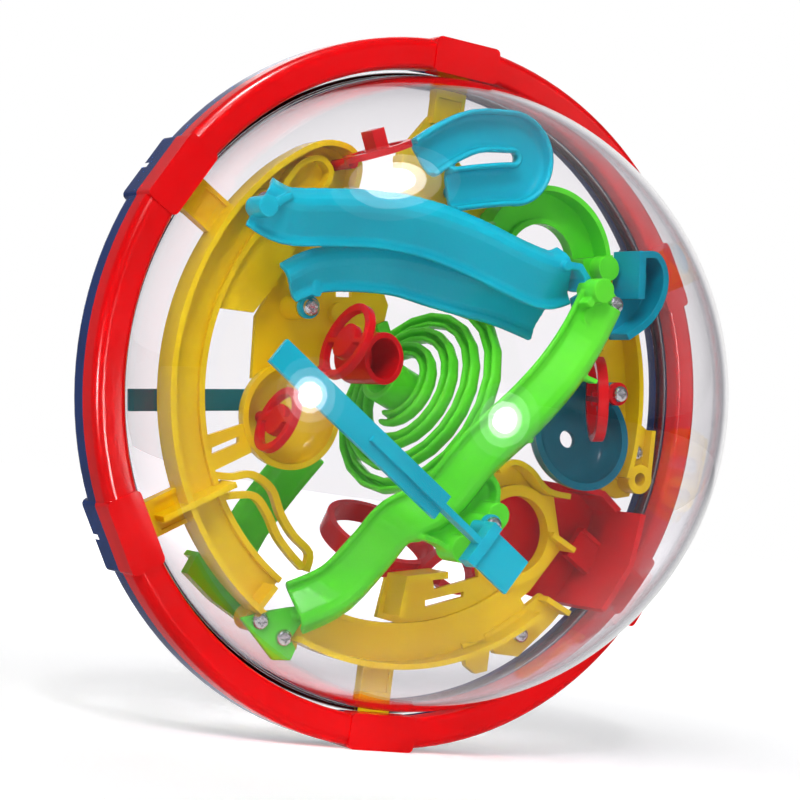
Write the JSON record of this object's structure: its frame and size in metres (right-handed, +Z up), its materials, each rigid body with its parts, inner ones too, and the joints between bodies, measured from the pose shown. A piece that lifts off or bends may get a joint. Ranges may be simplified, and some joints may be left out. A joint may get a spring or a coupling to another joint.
{
  "type": "maze ball puzzle",
  "caption": "Clear ball clamped in a two-part ring with raised blocks, holding coloured marble tracks, a spiral, bowls, hoops and one loose steel marble.",
  "frame": {"origin": "centre of the clear ball, which is also the centre of the ring", "axes": "-Y is the ring's axis towards the front (red) half, +Z up, +X to the right seen from the front; the ring stands on its bottom block"},
  "size_m": [0.2, 0.1788, 0.2004],
  "materials": {
    "red_plastic": "gloss moulded",
    "blue_plastic": "gloss moulded",
    "clear_plastic": "polished clear",
    "yellow_plastic": "gloss moulded",
    "green_plastic": "gloss moulded",
    "cyan_plastic": "gloss moulded",
    "screw_steel": "plated",
    "marble_steel": "polished"
  },
  "bodies": {
    "maze_ball": {"front_ring": "red_plastic", "rear_ring": "blue_plastic", "front_dome": "clear_plastic", "rear_dome": "clear_plastic", "ring_screws": "screw_steel", "main_track": "yellow_plastic", "lower_track": "yellow_plastic", "right_bracket": "yellow_plastic", "top_bracket": "yellow_plastic", "dish_track": "yellow_plastic", "ramp_green": "green_plastic", "arc_green": "green_plastic", "spiral_green": "green_plastic", "rear_ramp_green": "green_plastic", "rear_stop_green": "green_plastic", "upper_track_blue": "cyan_plastic", "second_track_blue": "cyan_plastic", "hook_track_blue": "cyan_plastic", "bar_blue": "cyan_plastic", "bowl_blue": "cyan_plastic", "cup_blue": "cyan_plastic", "rear_bar_blue": "cyan_plastic", "disc_red": "red_plastic", "twin_hoop_red": "red_plastic", "cup_red": "red_plastic", "gate_red": "red_plastic", "low_hoop_red": "red_plastic", "chute_red": "red_plastic", "track_screws": "screw_steel"},
    "marble": {"marble": "marble_steel"}
  },
  "joints": [
    {"name": "marble_roll", "type": "hinge", "parent": "maze_ball", "child": "marble", "pos_m": [0, 0, 0], "axis": [0, -1, 0], "range_deg": [0, 63]}
  ]
}
